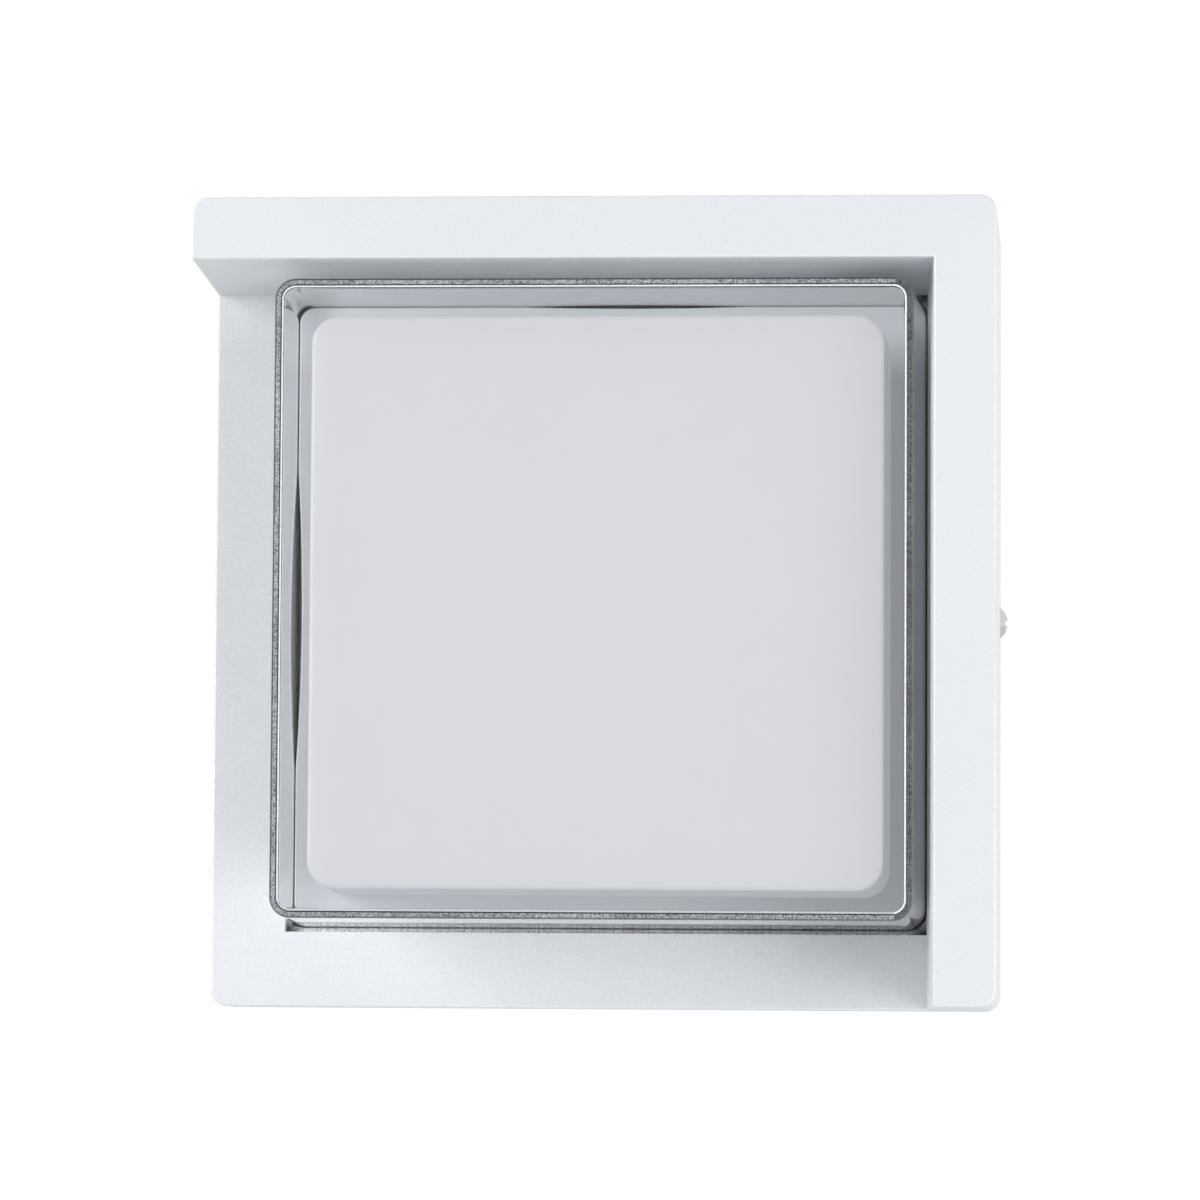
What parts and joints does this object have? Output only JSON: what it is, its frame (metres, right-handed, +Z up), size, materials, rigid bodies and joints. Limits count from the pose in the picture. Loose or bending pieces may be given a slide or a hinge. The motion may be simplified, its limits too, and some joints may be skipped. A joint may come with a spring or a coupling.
{
  "type": "outdoor wall light",
  "caption": "Square outdoor wall light: drafted cast body with an L-shaped visor on two sides, clear box cover over an opal diffuser, clipped over a wall bracket.",
  "frame": {"origin": "middle of the back, on the wall", "axes": "+Y into the wall, -Y towards the viewer, +Z up the wall, +X to the viewer's right"},
  "size_m": [0.2016, 0.08, 0.2],
  "materials": {
    "powder_coat": "die casting, fine textured satin powder coat",
    "clear_cover": "clear, polished",
    "grey_silicone": "matt, a little dusty",
    "black_rubber": "matt",
    "white_tray": "satin white",
    "opal": "matt, light diffusing",
    "zinc_steel": "zinc plated",
    "stainless": "passivated",
    "sheet_aluminium": "mill finish",
    "thermal_pad": "soft, matt",
    "white_board": "white solder mask",
    "led": "phosphor in a white frame",
    "white_plastic": "moulded",
    "green_board": "solder mask",
    "ferrite": "taped winding and ferrite",
    "capacitor": "sleeved can",
    "red_lead": "insulation",
    "black_lead": "insulation",
    "brown_lead": "insulation",
    "blue_lead": "insulation",
    "earth_lead": "green insulation with a yellow stripe",
    "brass": "bright",
    "grey_plastic": "moulded",
    "foam": "closed-cell foam"
  },
  "bodies": {
    "wall_bracket": {"wall_bracket": "zinc_steel", "cable_grommet": "black_rubber"},
    "light": {"housing": "powder_coat", "clear_cover": "clear_cover", "cover_gasket": "grey_silicone", "gear_tray": "white_tray", "tray_screws": "zinc_steel", "opal_diffuser": "opal", "diffuser_screws": "zinc_steel", "led_carrier": "sheet_aluminium", "carrier_screws": "zinc_steel", "thermal_pad": "thermal_pad", "led_board": "white_board", "led_chips": "led", "led_board_screws": "zinc_steel", "led_connector": "white_plastic", "driver_case": "white_plastic", "driver_lid": "white_plastic", "driver_board": "green_board", "driver_transformer": "ferrite", "driver_capacitors": "capacitor", "driver_screws": "zinc_steel", "dc_lead_red": "red_lead", "dc_lead_black": "black_lead", "live_lead": "brown_lead", "neutral_lead": "blue_lead", "earth_lead": "earth_lead", "earth_tag": "brass", "earth_screw": "brass", "tray_grommet": "black_rubber", "terminal_block": "grey_plastic", "terminal_clamps": "brass", "terminal_screws": "zinc_steel", "terminal_block_screws": "zinc_steel", "wall_gasket": "foam", "side_nuts": "zinc_steel"},
    "screw_right": {"side_screw_right": "stainless"},
    "screw_left": {"side_screw_left": "stainless"}
  },
  "joints": [
    {"name": "light_lift_off", "type": "slide", "parent": "wall_bracket", "child": "light", "axis": [0, -1, 0], "range_m": [0, 0.05]},
    {"name": "side_screw_right_out", "type": "slide", "parent": "light", "child": "screw_right", "axis": [1, 0, 0], "range_m": [0, 0.011]},
    {"name": "side_screw_left_out", "type": "slide", "parent": "light", "child": "screw_left", "axis": [-1, 0, 0], "range_m": [0, 0.011]}
  ]
}
